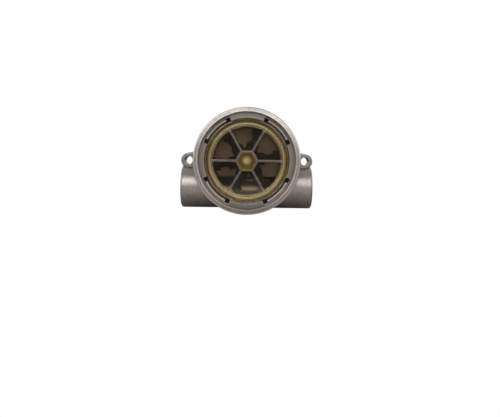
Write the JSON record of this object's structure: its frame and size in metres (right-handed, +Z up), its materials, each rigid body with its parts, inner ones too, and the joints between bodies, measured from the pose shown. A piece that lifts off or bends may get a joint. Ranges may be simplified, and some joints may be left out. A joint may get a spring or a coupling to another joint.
{
  "type": "paddle wheel flow sensor",
  "caption": "In-line paddle wheel flow sensor: round cast metal body with two threaded pipe ports, panel ears, twist-off amber sight lens over a magnet rotor, and a rear electrical connector.",
  "frame": {"origin": "where the rotor axis crosses the front faces of the two panel ears", "axes": "+X along the ports in the direction of flow, -Y out of the lens towards the viewer, +Z up"},
  "size_m": [0.0636, 0.0446, 0.0508],
  "materials": {
    "cast_steel": "bead-blasted cast stainless steel, satin",
    "amber_lens": "clear amber moulded plastic, polished",
    "black_plastic": "moulded, satin",
    "white_plastic": "turned, satin",
    "white_ceramic": "ground",
    "ferrite": "sintered, dull",
    "seal_rubber": "moulded, dull",
    "green_board": "solder mask, satin",
    "chip_black": "moulded, dull",
    "capacitor_tan": "fired, satin",
    "header_plastic": "moulded, satin",
    "contact_gold": "plated, bright",
    "cover_plastic": "moulded, fine grain",
    "screw_steel": "turned, bright"
  },
  "bodies": {
    "body": {"flow_body": "cast_steel", "range_insert": "white_plastic", "rotor_shaft": "white_ceramic", "circuit_board": "green_board", "board_screws": "screw_steel", "hall_sensor": "chip_black", "output_chip": "chip_black", "chip_capacitors": "capacitor_tan", "connector_header": "header_plastic", "connector_seal": "seal_rubber", "rear_gasket": "seal_rubber", "rear_cover": "cover_plastic", "cover_screws": "screw_steel", "contact_pin_1": "contact_gold", "contact_pin_2": "contact_gold", "contact_pin_3": "contact_gold"},
    "lens": {"front_lens": "amber_lens", "lens_seal": "seal_rubber"},
    "rotor": {"rotor": "black_plastic", "rotor_magnet_1": "ferrite", "rotor_magnet_2": "ferrite", "rotor_magnet_3": "ferrite", "rotor_magnet_4": "ferrite", "rotor_magnet_5": "ferrite", "rotor_magnet_6": "ferrite"}
  },
  "joints": [
    {"name": "rotor_spin", "type": "hinge", "parent": "body", "child": "rotor", "pos_m": [0, 0.008, 0], "axis": [0, -1, 0], "continuous": true},
    {"name": "lens_turn", "type": "hinge", "parent": "body", "child": "lens", "pos_m": [0, 0, 0], "axis": [0, -1, 0], "range_deg": [0, 45]}
  ]
}
